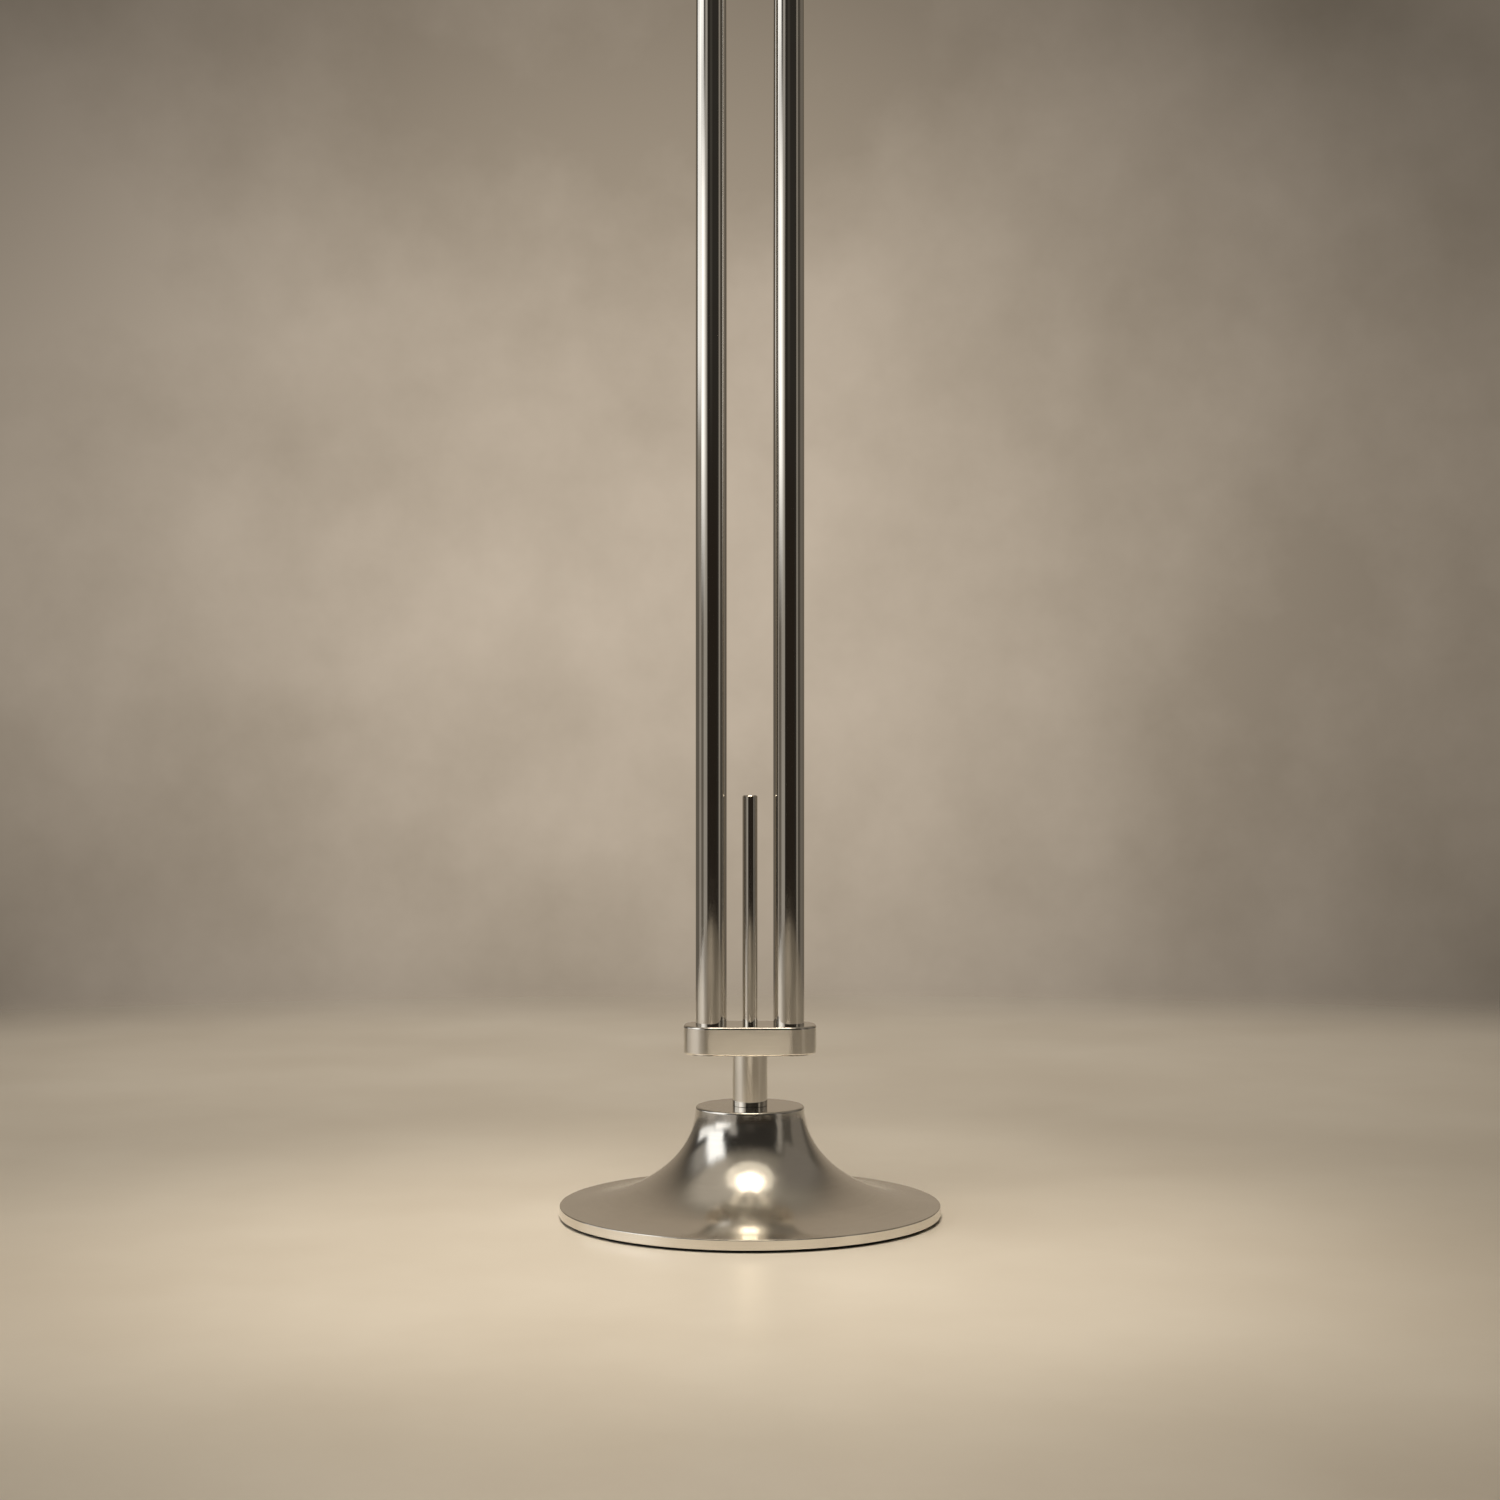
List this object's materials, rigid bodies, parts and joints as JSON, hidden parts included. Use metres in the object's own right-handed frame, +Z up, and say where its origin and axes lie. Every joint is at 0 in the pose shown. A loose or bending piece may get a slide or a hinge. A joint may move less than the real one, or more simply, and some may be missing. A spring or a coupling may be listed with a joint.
{
  "type": "trumpet stand",
  "caption": "Floor stand: weighted flared foot, swivel neck, side-by-side polished tubes, stop rod, and a clamped sliding carriage whose padded peg holds a trumpet by its bell.",
  "frame": {"origin": "on the floor, at the centre of the foot's rubber ring", "axes": "+Z up along the column, -Y to the front, where the peg reaches, and +X to the clamp's knob"},
  "size_m": [0.304, 0.304, 1.19],
  "materials": {
    "polished_nickel": "polished nickel plate, faint brushing along the length",
    "machined_steel": "as machined",
    "zinc_steel": "zinc plated",
    "stainless_screws": "turned stainless steel",
    "cast_iron": "sand cast, black painted",
    "black_plate": "black powder coat",
    "black_acetal": "turned",
    "black_rubber": "matt",
    "grey_felt": "wool felt",
    "brass": "turned"
  },
  "bodies": {
    "foot": {"foot_shell": "polished_nickel", "foot_ballast": "cast_iron", "foot_bottom_plate": "black_plate", "foot_bottom_screws": "zinc_steel", "foot_pad": "black_rubber", "bearing_housing": "machined_steel", "housing_screws": "zinc_steel", "upper_bush": "black_acetal", "lower_bush": "black_acetal"},
    "column": {"swivel_post": "polished_nickel", "spindle_washer": "zinc_steel", "disc_springs": "machined_steel", "spindle_nut": "zinc_steel", "lower_plate": "polished_nickel", "lower_plate_screws": "zinc_steel", "top_plate": "polished_nickel", "top_plate_screws": "stainless_screws", "left_tube": "polished_nickel", "right_tube": "polished_nickel", "left_lower_plug": "machined_steel", "left_upper_plug": "machined_steel", "right_lower_plug": "machined_steel", "right_upper_plug": "machined_steel", "stop_rod": "polished_nickel"},
    "carriage": {"carriage_block": "polished_nickel", "left_upper_guide_bush": "black_acetal", "left_lower_guide_bush": "black_acetal", "right_upper_guide_bush": "black_acetal", "right_lower_guide_bush": "black_acetal", "rod_buffer": "black_rubber", "peg_arm": "polished_nickel", "arm_grub_screw": "stainless_screws", "bell_dish": "polished_nickel", "bell_felt": "grey_felt", "bell_cone_core": "black_acetal", "bell_cone_cover": "black_rubber", "peg_bolt": "stainless_screws", "peg_cap": "polished_nickel"},
    "clamp_pad": {"clamp_pad": "brass"},
    "clamp_screw": {"clamp_screw": "stainless_screws", "clamp_knob": "polished_nickel"}
  },
  "joints": [
    {"name": "column_swivel", "type": "hinge", "parent": "foot", "child": "column", "pos_m": [0, 0, 0.088], "axis": [0, 0, 1], "continuous": true},
    {"name": "carriage_height", "type": "slide", "parent": "column", "child": "carriage", "axis": [0, 0, 1], "range_m": [-0.6797, 0.1055]},
    {"name": "clamp_travel", "type": "slide", "parent": "carriage", "child": "clamp_pad", "axis": [1, 0, 0], "range_m": [0, 0.00187]},
    {"name": "clamp_turn", "type": "hinge", "parent": "clamp_pad", "child": "clamp_screw", "pos_m": [0.059, 0, 1.04], "axis": [1, 0, 0], "range_deg": [0, 542]}
  ],
  "couplings": [
    {"joint": "clamp_turn", "follows": "clamp_travel", "rad_per_m": 5026.5}
  ]
}
